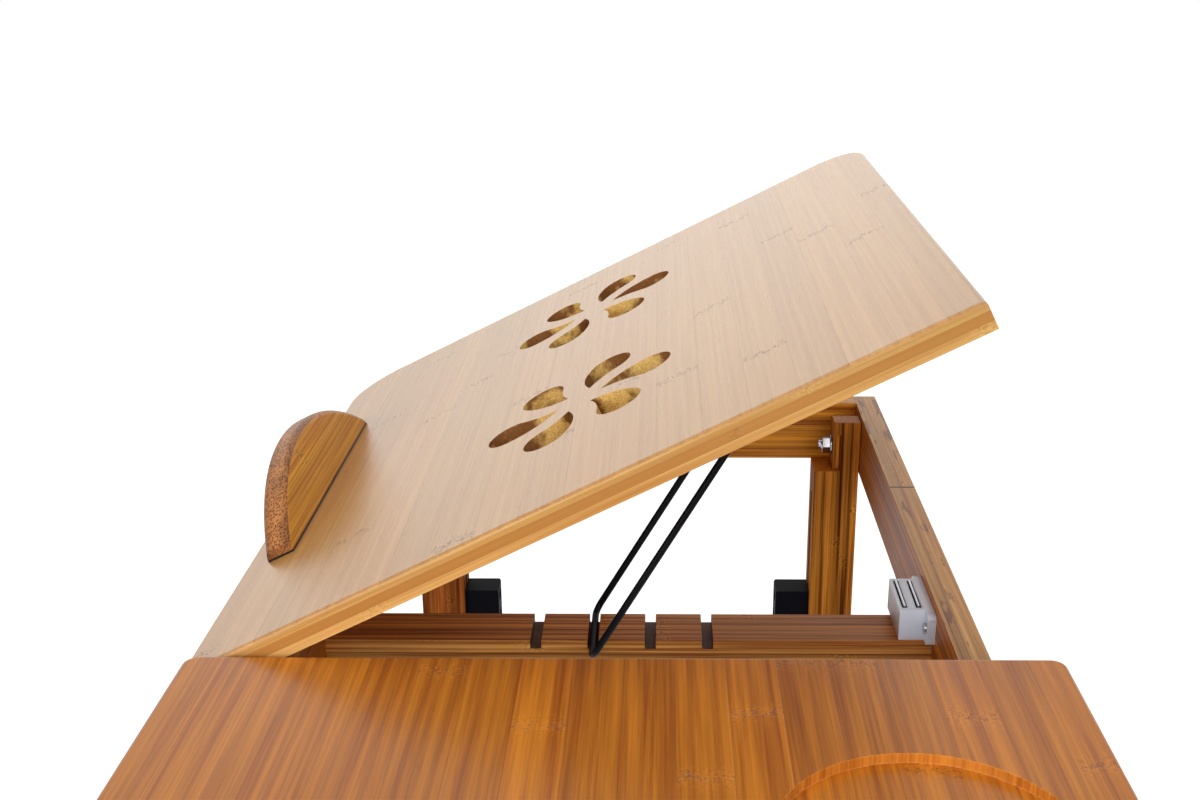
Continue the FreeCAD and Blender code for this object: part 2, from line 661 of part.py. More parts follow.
def lock_screw(end, side, z):
    start = V(end * PIVOT_X, side * LOCK_SCREW_SEAT, z)
    shank = rod(LOCK_SCREW_RADIUS, start, V(0, side * (LEG_OUT - LOCK_SCREW_SHY - LOCK_SCREW_SEAT), 0))
    head = rod(LOCK_SCREW_HEAD, start, V(0, -side * LOCK_SCREW_HEAD_HEIGHT, 0))
    return shank.fuse(head)


LOCK_IN = SLIDER_IN - SLIDE_GAP - LOCK_OUT
LOCK_SCREW_SEAT = LOCK_IN + LOCK_SCREW_SINK


def lock_screws(end, side):
    return [lock_screw(end, side, z) for z in LOCK_SCREW_HEIGHTS]


def upper_bar(end, side):
    half = LEG_DEPTH / 2
    top = PIVOT_Z + LEG_TOP_ABOVE_PIVOT
    bar = leg_block(end, side, -half, half, LEG_IN, LEG_OUT, LEG_BOTTOM, top)
    swing = rod(LEG_TOP_ABOVE_PIVOT, V(end * PIVOT_X, side * LEG_IN, PIVOT_Z),
                V(0, side * (LEG_OUT - LEG_IN), 0))
    corner = leg_block(end, side, -half - PAST, 0, LEG_IN, LEG_OUT, PIVOT_Z, top + PAST)
    bar = bar.cut(corner.cut(swing))
    slot_top = top - SLOT_TOP_BELOW_TOP - LEG_SLOT / 2
    for inward in (-1, 1):
        outer = inward * (half + PAST)
        inner = inward * LEG_NECK / 2
        bar = bar.cut(leg_block(end, side, inner, outer, LEG_HEAD_OUT, LEG_SHOULDER,
                                LEG_BOTTOM - PAST, slot_top))
        start = V(leg_x(end, inner), side * (LEG_HEAD_OUT + LEG_SHOULDER) / 2, slot_top)
        bar = bar.cut(rod(LEG_SLOT / 2, start, V(leg_x(end, outer) - leg_x(end, inner), 0, 0)))
    bore = rod(BOLT_RADIUS + PIN_GAP, V(end * PIVOT_X, side * (LEG_IN - PAST), PIVOT_Z),
               V(0, side * (LEG_OUT - LEG_IN + 2 * PAST), 0))
    return bar.cut(bore).cut(lock_screws(end, side))


SLIDER_SLOT = LOCK_SCREW_RADIUS + LOCK_SCREW_GAP


def sliding_bar(end, side):
    half = SLIDER_HALF
    bar = leg_block(end, side, -half, half, SLIDER_IN, SLIDER_OUT, FOOT_THICK, SLIDER_TOP)
    cavity = LEG_DEPTH / 2 + SLIDE_GAP
    bar = bar.cut(leg_block(end, side, -cavity, cavity, SLIDER_FACE, LEG_HEAD_OUT + SLIDE_GAP,
                            LEG_BOTTOM - EXTENSION, SLIDER_TOP + PAST))
    mouth = LEG_NECK / 2 + SLIDE_GAP
    bar = bar.cut(leg_block(end, side, -mouth, mouth, LEG_HEAD_OUT, SLIDER_OUT + PAST,
                            LEG_BOTTOM - EXTENSION, SLIDER_TOP + PAST))
    low = min(LOCK_SCREW_HEIGHTS) - SLIDER_SLOT
    high = max(LOCK_SCREW_HEIGHTS) + EXTENSION + SLIDER_SLOT
    slot = leg_block(end, side, -SLIDER_SLOT, SLIDER_SLOT, SLIDER_IN - PAST, SLIDER_FACE + PAST, low, high)
    return bar.cut(slot)


def bolt_stack(end, side):
    """The pivot bolt, its washer and its nut, as three separate pieces."""
    x = end * PIVOT_X
    washer_out = LEG_IN - RUN_GAP
    nut_out = washer_out - WASHER_THICK
    tip = nut_out - NUT_HEIGHT - BOLT_END
    inward = V(0, -side, 0)
    shank = rod(BOLT_RADIUS, V(x, side * RAIL_OUT, PIVOT_Z), inward * (RAIL_OUT - tip))
    head = rod(BOLT_HEAD_RADIUS, V(x, side * RAIL_OUT, PIVOT_Z), inward * -BOLT_HEAD_HEIGHT)
    bolt = soften(head, BOLT_HEAD_ROUND, on_side_plane(RAIL_OUT + BOLT_HEAD_HEIGHT)).fuse(shank)
    washer = rod(WASHER_RADIUS, V(x, side * washer_out, PIVOT_Z), inward * WASHER_THICK).cut(shank)
    points = [V(x + NUT_RADIUS * math.cos(math.radians(60 * i)), side * nut_out,
                PIVOT_Z + NUT_RADIUS * math.sin(math.radians(60 * i))) for i in range(7)]
    nut = Part.Face(Part.makePolygon(points)).extrude(inward * NUT_HEIGHT).cut(shank)
    return bolt, washer, nut


def button_block(end, side, grow, y0, y1):
    half = BUTTON_DEPTH / 2 + grow
    tall = BUTTON_HEIGHT / 2 + grow
    return leg_block(end, side, -half, half, y0, y1, BUTTON_Z - tall, BUTTON_Z + tall)


BUTTON_IN = LOCK_IN - BUTTON_PROUD
BUTTON_BACK = BUTTON_IN + BUTTON_LENGTH
SPRING_LENGTH = 2 * SPRING_WIRE + (COIL_COUNT - 1) * COIL_PITCH
SPRING_SEAT = BUTTON_BACK + BUTTON_TRAVEL + RUN_GAP + SPRING_LENGTH


def lock_housing(end, side):
    half = LOCK_DEPTH / 2
    body = leg_block(end, side, -half, half, LOCK_IN, SLIDER_IN - SLIDE_GAP, LOCK_BOTTOM, LOCK_TOP)
    body = soften(body, LOCK_ROUND, on_side_plane(LOCK_IN))
    body = body.cut(button_block(end, side, RUN_GAP, LOCK_IN - PAST, SPRING_SEAT))
    for z in LOCK_SCREW_HEIGHTS:
        body = body.cut(rod(LOCK_SCREW_HEAD, V(end * PIVOT_X, side * (LOCK_IN - PAST), z),
                            V(0, side * (LOCK_SCREW_SINK + PAST), 0)))
    return body.cut(lock_screws(end, side))


def lock_button(end, side):
    body = button_block(end, side, 0.0, BUTTON_IN, BUTTON_BACK)
    return soften(body, BUTTON_ROUND, on_side_plane(BUTTON_IN))


def lock_spring(end, side):
    """Closed coils that stand on the cavity's floor behind the button."""
    coils = [Part.makeTorus(SPRING_RADIUS, SPRING_WIRE,
                            V(end * PIVOT_X, side * (SPRING_SEAT - SPRING_WIRE - COIL_PITCH * i), BUTTON_Z),
                            V(0, 1, 0)) for i in range(COIL_COUNT)]
    return coils[0].fuse(coils[1:])


def stretcher(end):
    return leg_block(end, 1, -SLIDER_HALF - STRETCHER_THICK, -SLIDER_HALF, -SLIDER_OUT, SLIDER_OUT,
                     STRETCHER_BOTTOM, STRETCHER_BOTTOM + STRETCHER_HEIGHT).cut(stretcher_screws(end))


def stretcher_screws(end):
    screws = []
    x = leg_x(end, -SLIDER_HALF - STRETCHER_THICK)
    inward = V(-end, 0, 0)
    low = STRETCHER_BOTTOM + STRETCHER_SCREW_FROM_EDGE
    high = STRETCHER_BOTTOM + STRETCHER_HEIGHT - STRETCHER_SCREW_FROM_EDGE
    for side in (-1, 1):
        for z in (low, high):
            point = V(x, side * (SLIDER_IN + SLIDER_FACE) / 2, z)
            head = Part.makeCone(SCREW_HEAD_RADIUS, SCREW_RADIUS, SCREW_HEAD_DEPTH, point, inward)
            screws.append(head.fuse(rod(SCREW_RADIUS, point, inward * SCREW_LENGTH)))
    return screws


def foot_pad(end, side):
    half = SLIDER_HALF - FOOT_INSET
    return leg_block(end, side, -half, half, SLIDER_IN + FOOT_INSET, SLIDER_OUT - FOOT_INSET,
                     0, FOOT_THICK)


# ---- Drawer ----
def drawer_front():
    half = RUNNER_OUT - RUN_GAP
    face = block(DRAWER_FRONT_IN, FRAME_END, -half, half, RAIL_BOTTOM + RUN_GAP, UNDERSIDE - RUN_GAP)
    middle = V(DRAWER_FRONT_IN - PAST, 0, (RAIL_BOTTOM + UNDERSIDE) / 2 + FINGER_RAISE)
    return face.cut(rod(FINGER_RADIUS, middle, V(DRAWER_FRONT_THICK + 2 * PAST, 0, 0)))


def drawer_side(side):
    return block(DRAWER_FAR, DRAWER_FRONT_IN, side * (DRAWER_HALF - DRAWER_SIDE_THICK),
                 side * DRAWER_HALF, DRAWER_BOTTOM + DRAWER_FLOOR_THICK, UNDERSIDE - DRAWER_TOP_GAP)


def drawer_back():
    inside = DRAWER_HALF - DRAWER_SIDE_THICK
    return block(DRAWER_FAR, DRAWER_FAR + DRAWER_SIDE_THICK, -inside, inside,
                 DRAWER_BOTTOM + DRAWER_FLOOR_THICK, UNDERSIDE - DRAWER_TOP_GAP)


def drawer_floor():
    return block(DRAWER_FAR, DRAWER_FRONT_IN, -DRAWER_HALF, DRAWER_HALF,
                 DRAWER_BOTTOM, DRAWER_BOTTOM + DRAWER_FLOOR_THICK)


# ---- Write one file per node ----
os.makedirs("parts", exist_ok=True)

save("fixed_panel", fixed_panel())
panel_screws = strike_screws() + bracket_screws() + [s for x in HINGE_X for s in panel_leaf_screws(x)]
save("tilt_panel", tilted(tilt_panel().cut(stop_screws() + panel_screws)))

front = side_rail(-FRAME_END, FRAME_END, -1)
save("front_rail", front.cut([s for x in HINGE_X for s in frame_leaf_screws(x)]))
save("back_rail_far", side_rail(-FRAME_END, RAIL_JOINT, 1).cut(rail_dowels()))
save("back_rail_near", side_rail(RAIL_JOINT, FRAME_END, 1).cut(rail_dowels() + catch_screws()))
save("rail_dowels", *rail_dowels())
save("far_end_rail", end_rail(-FRAME_END, -END_RAIL_IN, -RAIL_IN, RAIL_IN))
save("near_end_block_front", end_rail(END_RAIL_IN, FRAME_END, -RAIL_IN, -RUNNER_OUT))
save("near_end_block_back", end_rail(END_RAIL_IN, FRAME_END, RUNNER_OUT, RAIL_IN))
save("rack_bar", rack_bar())
save("cross_batten", batten())
save("drawer_runner_front", drawer_runner(-1))
save("drawer_runner_back", drawer_runner(1))
save("frame_screws", *frame_screws())

save("catch_body", catch_body())
save("catch_pole_plates", *pole_plates())
save("catch_magnet", catch_magnet())
save("catch_screws", *catch_screws())
save("strike_plate", tilted(strike_plate()))

save("frame_hinge_leaves", *[frame_leaf(x) for x in HINGE_X])
save("frame_hinge_screws", *[s for x in HINGE_X for s in frame_leaf_screws(x)])
save("panel_hinge_leaves", *[tilted(panel_leaf(x)) for x in HINGE_X])
save("hinge_pins", *[tilted(hinge_pin(x)) for x in HINGE_X])

save("book_stop", tilted(book_stop()))
save("stop_screws", *[tilted(s) for s in stop_screws()])
save("prop_wire", prop_wire())
save("prop_brackets", *[tilted(prop_bracket(x)) for x in BRACKET_X])
save("panel_screws", *[tilted(s) for s in panel_screws])

stacks = [bolt_stack(end, side) for end in (-1, 1) for side in (-1, 1)]
save("leg_bolts", *[stack[0] for stack in stacks])
save("leg_washers", *[stack[1] for stack in stacks])
save("leg_nuts", *[stack[2] for stack in stacks])

for end, end_name in ((-1, "far"), (1, "near")):
    for side, side_name in ((-1, "front"), (1, "back")):
        place = end_name + "_" + side_name
        save(place + "_upper_bar", upper_bar(end, side))
        save(place + "_sliding_bar", sliding_bar(end, side).cut(stretcher_screws(end)))
        save(place + "_lock_button", lock_button(end, side))
    save(end_name + "_lock_housings", *[lock_housing(end, side) for side in (-1, 1)])
    save(end_name + "_lock_screws", *[s for side in (-1, 1) for s in lock_screws(end, side)])
    save(end_name + "_lock_springs", *[lock_spring(end, side) for side in (-1, 1)])
    save(end_name + "_stretcher", stretcher(end))
    save(end_name + "_stretcher_screws", *stretcher_screws(end))
    save(end_name + "_foot_pads", *[foot_pad(end, side) for side in (-1, 1)])

save("drawer_front", drawer_front())
save("drawer_side_front", drawer_side(-1))
save("drawer_side_back", drawer_side(1))
save("drawer_back", drawer_back())
save("drawer_floor", drawer_floor())
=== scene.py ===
"""Looks of the bamboo laptop stand: eased boards, laminated bamboo, plated steel, floor, light and camera.

Lengths are metres, in the same frame as the model: +X towards the fixed panel, -Y towards the user, +Z up.
Noise scales are cells a metre, and noise levels and shares run from 0 to 1.
"""
import json
import math

import bmesh
import bpy
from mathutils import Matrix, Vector

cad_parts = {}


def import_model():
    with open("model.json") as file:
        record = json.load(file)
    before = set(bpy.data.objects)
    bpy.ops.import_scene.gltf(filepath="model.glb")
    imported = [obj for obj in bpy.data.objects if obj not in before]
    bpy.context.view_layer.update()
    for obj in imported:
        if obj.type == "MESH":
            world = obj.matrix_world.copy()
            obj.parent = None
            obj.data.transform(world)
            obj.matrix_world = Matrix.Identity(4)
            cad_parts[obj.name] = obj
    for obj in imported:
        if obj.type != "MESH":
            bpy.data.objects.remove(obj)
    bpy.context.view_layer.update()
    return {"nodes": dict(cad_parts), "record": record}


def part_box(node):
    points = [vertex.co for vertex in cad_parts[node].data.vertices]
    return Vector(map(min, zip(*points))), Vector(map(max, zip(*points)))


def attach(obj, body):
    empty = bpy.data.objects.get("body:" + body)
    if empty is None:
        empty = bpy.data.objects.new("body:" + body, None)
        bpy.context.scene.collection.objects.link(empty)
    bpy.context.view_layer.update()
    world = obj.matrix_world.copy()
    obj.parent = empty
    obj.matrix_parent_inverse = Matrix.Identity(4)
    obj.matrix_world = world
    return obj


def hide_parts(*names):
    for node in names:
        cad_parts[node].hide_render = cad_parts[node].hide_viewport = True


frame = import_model()

MM = 0.001

# ---- Camera, fitted to the photo: place in metres, angles in radians ----
CAMERA_PLACE = (0.59417, 0.01336, 0.49586)
CAMERA_PITCH = 0.33179
CAMERA_YAW = 0.00741
CAMERA_NEAR = 0.01

# The picture's width, focal length and optical middle in px, and the sensor's width in mm.
PICTURE_WIDTH = 1200
PICTURE_FOCUS = 1420
PICTURE_MIDDLE_X = 648.3
SENSOR_WIDTH = 36.0

# ---- Places on the model ----
TILT = math.radians(26.6)
HINGE_AXIS = (0.0, -0.15505, 0.200)
PANEL_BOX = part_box("tilt_panel")
FRONT_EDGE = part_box("fixed_panel")[0][1]
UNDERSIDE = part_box("fixed_panel")[0][2]
TOP_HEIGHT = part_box("fixed_panel")[1][2]
RAIL_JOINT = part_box("back_rail_far")[1][0]
# The front of the book stop, and how far behind it the painted shade on its edge fades out.
STOP_FRONT = -0.160
STOP_SHADE = 8 * MM
RIM = 6 * MM
MARGIN = 1 * MM

BODY_OF = {node: body for body, nodes in frame["record"]["behaviour"]["bodies"].items() for node in nodes}

# ---- Bamboo: strips and the glue lines between them ----
# Heights are counted in the fibres' own relief, and the shifts move a draw or a noise to a place of its own.
BROAD = 20 * MM
NARROW = 5.2 * MM
GLUE_LINE = 0.00022
GLUE_SHARE = 0.3
GLUE_HEIGHT = -0.5
TONE_SHIFT = (7.3, 3.1, 5.9)
GRAIN_SHIFT = 9.0
WARM_SHARE = 0.22

# ---- Bamboo: fibres, as two noises drawn out along the grain ----
COARSE_ALONG = 5.0
FINE_ALONG = 16.0
FINE_PER_COARSE = 4
COARSE_SHARE = 0.62
FINE_SHARE = 0.38

# ---- Bamboo: nodes, each a broken dark line in a mottled zone ----
NODE_SPACING = 0.26
NODE_LINE = 0.0046
NODE_ZONE = 0.011
NODE_HEIGHT = -1.4
WANDER = 0.016
WANDER_SCALE = 380.0
SPECKLE_SCALE = 760.0
SPECKLE_LEVELS = (0.52, 0.6)
MOTTLE = 1.6
MOTTLE_LEVEL = 0.55

# ---- Bamboo: stains, seams and painted shadow in narrow gaps ----
STAIN_ALONG = 34.0
STAIN_ACROSS = 150.0
STAIN_LEVELS = (0.56, 0.62)
SEAM_FADE = (0.6 * MM, 1.1 * MM)
# The heights above the foot between which the painted shadow fades out.
SHADOW_FADE = (0.8 * MM, 1.2 * MM)
BAMBOO_RELIEF = 0.00008
COAT_ROUGHNESS = 0.22

# ---- Cut fibres: dots of their bundles, in clouds ----
BUNDLE_PITCH = 0.0009
BUNDLE_DISORDER = 0.8
BUNDLE_FADE = (0.2, 0.62)
BUNDLE_STRENGTH = (0.2, 0.6, 0.45, 0.95)
BEND = 1.2 * MM
BEND_SCALE = 420.0
CLOUD_SCALE = 48.0
CLOUD_LEVELS = (0.44, 0.56)
CUT_SCALE = 2200.0
# The share of painted shade at the front of a cut edge.
CUT_SHADE = 0.75
CUT_SHINE = 0.2
CUT_RELIEF = 0.00012

# ---- Metal and plastic: clouds by their scale, their share and how dark they get ----
SCRATCH_ALONG = 60.0
SCRATCH_ACROSS = 1600.0
SCRATCH_ROUGHNESS = 0.12
METAL_CLOUDS = (220.0, 0.35, 0.72)
METAL_RELIEF = 0.00001
PLASTIC_CLOUDS = (90.0, 0.3, 0.8)
PLASTIC_RELIEF = 0.00003
ROUGHNESS_SPREAD = 0.16


# ---- Colours ----
def srgb(red, green, blue):
    """A display colour, 0 to 255, as the linear colour that a shader takes."""
    def linear(value):
        value /= 255
        return value / 12.92 if value <= 0.04045 else ((value + 0.055) / 1.055) ** 2.4
    return (linear(red), linear(green), linear(blue), 1.0)


def darker(colour, share):
    return tuple(share * channel for channel in colour[:3]) + (1.0,)


WHITE = (1.0, 1.0, 1.0, 1.0)
WARM_TINT = (1.0, 0.82, 0.62, 1.0)
# Tint of the painted shade on the front of the book stop's edge.
SHADE_TINT = (0.38, 0.26, 0.2, 1.0)
# Painted shadow: a near-black line at the foot of the book stop, for the narrow gap beneath it.
BENEATH_SHADOW = srgb(10, 5, 3)
SEAM = srgb(22, 10, 4)
NODE_MARK = srgb(70, 42, 36)
GLUE = srgb(120, 62, 24)
STAIN = srgb(116, 50, 28)
PALE_DARK = srgb(186, 128, 62)
PALE_LIGHT = srgb(218, 168, 98)
EDGE_DARK = srgb(192, 132, 62)
EDGE_LIGHT = srgb(242, 202, 126)
TOP_DARK = srgb(162, 82, 14)
TOP_LIGHT = srgb(238, 150, 42)
RECESS_DARK = srgb(176, 96, 24)
RECESS_LIGHT = srgb(238, 158, 60)
RAIL_DARK = srgb(118, 54, 8)
RAIL_LIGHT = srgb(212, 128, 40)
RAIL_TOP_DARK = srgb(158, 96, 44)
RAIL_TOP_LIGHT = srgb(255, 200, 122)
RACK_DARK = srgb(120, 60, 18)
RACK_LIGHT = srgb(220, 144, 66)
RACK_FACE_DARK = srgb(150, 78, 26)
RACK_FACE_LIGHT = srgb(255, 192, 104)
# Painted shade: the notches' cut faces, far darker than cut bamboo elsewhere, for the deep shade inside them.
NOTCH_SHADE_DARK = srgb(40, 16, 4)
NOTCH_SHADE_LIGHT = srgb(104, 54, 20)
END_DARK = srgb(158, 80, 10)
END_LIGHT = srgb(250, 172, 50)
LEG_DARK = srgb(104, 46, 14)
LEG_LIGHT = srgb(248, 162, 60)
# Painted shade: the front legs are the back legs' bamboo darkened, for the raised panel's shadow over them.
FRONT_LEG_SHADE_DARK = srgb(88, 38, 12)
FRONT_LEG_SHADE_LIGHT = srgb(206, 120, 52)
STOP_DARK = srgb(184, 100, 22)
STOP_LIGHT = srgb(255, 196, 70)
STOP_EDGE_DARK = srgb(72, 32, 12)
STOP_EDGE_LIGHT = srgb(212, 142, 80)
VENT_DARK = srgb(112, 42, 8)
VENT_LIGHT = srgb(255, 214, 126)
PLY_DARK = srgb(190, 146, 88)
PLY_LIGHT = srgb(222, 184, 128)
STEEL = srgb(176, 176, 182)
ENAMEL = srgb(3, 3, 9)
BLACK_PLASTIC = srgb(3, 4, 13)
WHITE_PLASTIC = srgb(228, 238, 255)
FERRITE = srgb(52, 50, 52)
RUBBER = srgb(26, 25, 25)


# ---- Node trees ----
class Tree:
    """A material's node tree, built by short calls."""

    def __init__(self, name):
        self.material = bpy.data.materials.new(name)
        self.material.use_nodes = True
        self.nodes = self.material.node_tree.nodes
        self.links = self.material.node_tree.links
        self.shader = self.nodes["Principled BSDF"]

    def feed(self, socket, value):
        if isinstance(value, bpy.types.NodeSocket):
            self.links.new(value, socket)
        else:
            socket.default_value = value

    def node(self, kind, settings, inputs):
        made = self.nodes.new(kind)
        for key, value in settings.items():
            setattr(made, key, value)
        for key, value in inputs.items():
            self.feed(made.inputs[key], value)
        return made

    def math(self, operation, *values):
        inputs = dict(enumerate(values))
        return self.node("ShaderNodeMath", {"operation": operation}, inputs).outputs[0]

    def noise(self, vector, scale, detail=3.0, roughness=0.55):
        inputs = {"Vector": vector, "Scale": scale, "Detail": detail, "Roughness": roughness}
        return self.node("ShaderNodeTexNoise", {}, inputs).outputs["Fac"]

    def spread(self, value, low, high, to_low=0.0, to_high=1.0):
        """Map value from low..high to to_low..to_high, smoothly and with its ends held."""
        settings = {"interpolation_type": "SMOOTHSTEP"}
        inputs = {0: value, 1: low, 2: high, 3: to_low, 4: to_high}
        return self.node("ShaderNodeMapRange", settings, inputs).outputs[0]

    def fade(self, value, low, high, full=1.0):
        """Full up to low, and nothing from high on."""
        return self.spread(value, low, high, full, 0.0)

    def vector(self, x, y, z):
        return self.node("ShaderNodeCombineXYZ", {}, {0: x, 1: y, 2: z}).outputs[0]

    def add(self, a, b):
        """The sum of two vectors."""
        return self.node("ShaderNodeVectorMath", {"operation": "ADD"}, {0: a, 1: b}).outputs[0]

    def random(self, vector):
        settings = {"noise_dimensions": "3D"}
        return self.node("ShaderNodeTexWhiteNoise", settings, {"Vector": vector}).outputs["Value"]

    def mix(self, share, a, b, blend="MIX"):
        settings = {"data_type": "RGBA", "blend_type": blend}
        return self.node("ShaderNodeMix", settings, {0: share, 6: a, 7: b}).outputs[2]

    def tint(self, colour, by):
        return self.mix(1.0, colour, by, "MULTIPLY")

    def roughen(self, texture, middle):
        """Let the roughness follow the texture about its middle value."""
        rough = self.math("MULTIPLY_ADD", texture, ROUGHNESS_SPREAD, middle - ROUGHNESS_SPREAD / 2)
        self.feed(self.shader.inputs["Roughness"], rough)

    def bump(self, height, distance):
        inputs = {"Height": height, "Distance": distance, "Strength": 1.0}
        self.feed(self.shader.inputs["Normal"], self.node("ShaderNodeBump", {}, inputs).outputs[0])

    def grain(self, along, side, depth, shift, lengthwise, crosswise):
        """The place in a noise that is drawn out along the grain."""
        return self.vector(self.math("MULTIPLY", along, lengthwise), self.math("MULTIPLY", side, crosswise),
                           self.math("MULTIPLY_ADD", depth, crosswise, shift))

    def joint(self, at, width):
        """A glue line wherever at, counted in widths, is a whole number."""
        apart = self.math("MULTIPLY", self.math("PINGPONG", at, 0.5), width)
        return self.fade(self.math("ABSOLUTE", apart), 0.0, GLUE_LINE)

    def foot_shadow(self, height, foot, colour):
        """Painted shadow: darken the foot of a piece, where it stands over a narrow gap."""
        return self.mix(self.fade(height, foot + SHADOW_FADE[0], foot + SHADOW_FADE[1]), colour, BENEATH_SHADOW)

    def clouded(self, point, colour, scale, share, darkest):
        """The colour, in places nearer to its darkest share."""
        cloud = self.noise(point, scale)
        return self.mix(self.math("MULTIPLY", cloud, share), colour, darker(colour, darkest))

    def place(self, tilted):
        """The point's x, y and z in the piece's own frame, with the raised panel turned back to level."""
        point = self.node("ShaderNodeTexCoord", {}, {}).outputs["Object"]
        if tilted:
            settings = {"rotation_type": "X_AXIS"}
            inputs = {"Vector": point, "Center": HINGE_AXIS, "Angle": -TILT}
            point = self.node("ShaderNodeVectorRotate", settings, inputs).outputs[0]
        return self.node("ShaderNodeSeparateXYZ", {}, {0: point}).outputs


def bamboo(name, grain, across, strip, ply, dark, light, seed, tilted=False, gloss=0.36, spread=0.16,
           fibre=3.8 * MM, soft=0.16, marks=0.62, coat=0.0, shine=0.28, start=0.0, core=0.0, patches=0.0,
           seam=None, foot=None):
    """Laminated bamboo: strips of one width across, plies of one thickness, fibres and nodes along the grain.

    seed sets its draws apart, spread is how far the strips differ in tone, fibre how wide the coarse fibres
    are, soft how gently dark turns to light, and marks how strong the nodes are. The strips are counted
    from start, core darkens the second one, patches adds reddish stains, seam is the place along the grain
    of a butt joint, and foot is the height up to which painted shadow darkens the piece, for a narrow gap
    beneath it.
    """
    tree = Tree(name)
    place = tree.place(tilted)
    axes = {"X": place[0], "Y": place[1], "Z": place[2]}
    along = axes[grain]
    side = axes[across]
    depth = axes[({"X", "Y", "Z"} - {grain, across}).pop()]

    strip_at = tree.math("DIVIDE", tree.math("SUBTRACT", side, start), strip)
    ply_at = tree.math("DIVIDE", depth, ply)
    cell = tree.vector(tree.math("FLOOR", strip_at), tree.math("FLOOR", ply_at), seed)
    tone = tree.random(cell)
    other = tree.random(tree.add(cell, TONE_SHIFT))
    glue = tree.math("MAXIMUM", tree.joint(strip_at, strip), tree.joint(ply_at, ply))

    shift = tree.math("MULTIPLY", other, GRAIN_SHIFT)
    coarse_at = tree.grain(along, side, depth, shift, COARSE_ALONG, 1 / fibre)
    coarse = tree.noise(coarse_at, 1.0, detail=2.0)
    fine_at = tree.grain(along, side, depth, shift, FINE_ALONG, FINE_PER_COARSE / fibre)
    fine = tree.noise(fine_at, 1.0, roughness=0.65)

    step = tree.math("FRACT", tree.math("MULTIPLY_ADD", along, 1 / NODE_SPACING, tone))
    wander_at = tree.vector(tree.math("MULTIPLY", side, WANDER_SCALE),
                            tree.math("MULTIPLY", depth, WANDER_SCALE), shift)
    wander = tree.math("MULTIPLY", tree.math("SUBTRACT", tree.noise(wander_at, 1.0), 0.5), WANDER)
    from_node = tree.math("MULTIPLY_ADD", tree.math("SUBTRACT", step, 0.5), NODE_SPACING, wander)
    from_node = tree.math("ABSOLUTE", from_node)
    speckle = tree.noise(tree.vector(along, side, depth), SPECKLE_SCALE, roughness=0.65)
    line = tree.math("MULTIPLY", tree.fade(from_node, 0.0, NODE_LINE), tree.spread(speckle, *SPECKLE_LEVELS))
    zone = tree.fade(from_node, 0.0, NODE_ZONE)

    streak = tree.math("ADD", tree.math("MULTIPLY", coarse, COARSE_SHARE),
                       tree.math("MULTIPLY", fine, FINE_SHARE))
    streak = tree.spread(streak, 0.5 - soft, 0.5 + soft)
    mottled = tree.math("MULTIPLY", zone, tree.math("SUBTRACT", MOTTLE_LEVEL, speckle))
    streak = tree.math("ADD", streak, tree.math("MULTIPLY", mottled, MOTTLE))
    body = tree.mix(streak, dark, light)
    level = tree.math("MULTIPLY_ADD", tone, 2 * spread, 1 - spread)
    body = tree.tint(body, tree.vector(level, level, level))
    body = tree.mix(tree.math("MULTIPLY", other, WARM_SHARE), body, tree.tint(body, WARM_TINT))
    if core:
        second = tree.math("COMPARE", tree.math("FLOOR", strip_at), 1.0, 0.1)
        body = tree.mix(tree.math("MULTIPLY", second, core), body, dark)
    if patches:
        stain_at = tree.vector(tree.math("MULTIPLY", along, STAIN_ALONG),
                               tree.math("MULTIPLY", side, STAIN_ACROSS), shift)
        stain = tree.spread(tree.noise(stain_at, 1.0, detail=4.0, roughness=0.6), *STAIN_LEVELS)
        body = tree.mix(tree.math("MULTIPLY", stain, patches), body, STAIN)
    body = tree.mix(tree.math("MULTIPLY", glue, GLUE_SHARE), body, GLUE)
    body = tree.mix(tree.math("MULTIPLY", line, marks), body, NODE_MARK)
    if seam is not None:
        apart = tree.math("ABSOLUTE", tree.math("SUBTRACT", along, seam))
        body = tree.mix(tree.fade(apart, *SEAM_FADE), body, SEAM)
    # Painted shadow along the foot, for the narrow gap beneath the piece.
    if foot is not None:
        body = tree.foot_shadow(place[2], foot, body)

    tree.feed(tree.shader.inputs["Base Color"], body)
    tree.roughen(fine, gloss)
    tree.shader.inputs["Coat Weight"].default_value = coat
    tree.shader.inputs["Coat Roughness"].default_value = COAT_ROUGHNESS
    tree.shader.inputs["Specular IOR Level"].default_value = shine
    height = tree.math("ADD", fine, tree.math("MULTIPLY", line, NODE_HEIGHT))
    tree.bump(tree.math("ADD", height, tree.math("MULTIPLY", glue, GLUE_HEIGHT)), BAMBOO_RELIEF)
    return tree.material


